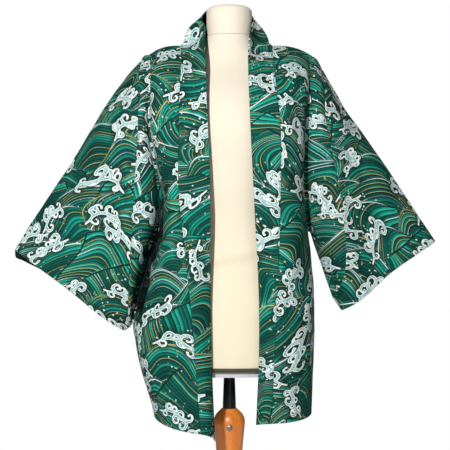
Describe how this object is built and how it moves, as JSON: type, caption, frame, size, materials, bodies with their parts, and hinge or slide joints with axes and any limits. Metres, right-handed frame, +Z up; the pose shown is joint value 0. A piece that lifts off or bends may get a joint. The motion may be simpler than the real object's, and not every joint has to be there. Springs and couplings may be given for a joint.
{
  "type": "haori jacket on dress form",
  "caption": "Short open haori jacket with wide hanging sleeves and a long collar band, worn on a limbless dress form on a turned wooden stand.",
  "frame": {"origin": "centre of the wooden base's flat underside, on the floor", "axes": "+Z up along the pole, -Y towards the jacket's open front, +X towards the wearer's left"},
  "size_m": [0.9251, 0.35, 1.5141],
  "materials": {
    "haori_cotton": "printed plain-weave cotton, matt",
    "form_cover": "stretched cream cover, matt",
    "form_board": "matt white board",
    "black_steel": "satin black",
    "varnished_wood": "gloss orange varnish",
    "screw_steel": "bright"
  },
  "bodies": {
    "root": {"front_right": "haori_cotton", "front_left": "haori_cotton", "back": "haori_cotton", "sleeve_right": "haori_cotton", "sleeve_left": "haori_cotton", "collar_band": "haori_cotton", "form_torso": "form_cover", "form_neck": "form_cover", "form_board": "form_board", "pole": "black_steel", "stand_column": "varnished_wood", "stand_base": "varnished_wood", "stand_screw": "screw_steel"}
  },
  "joints": []
}
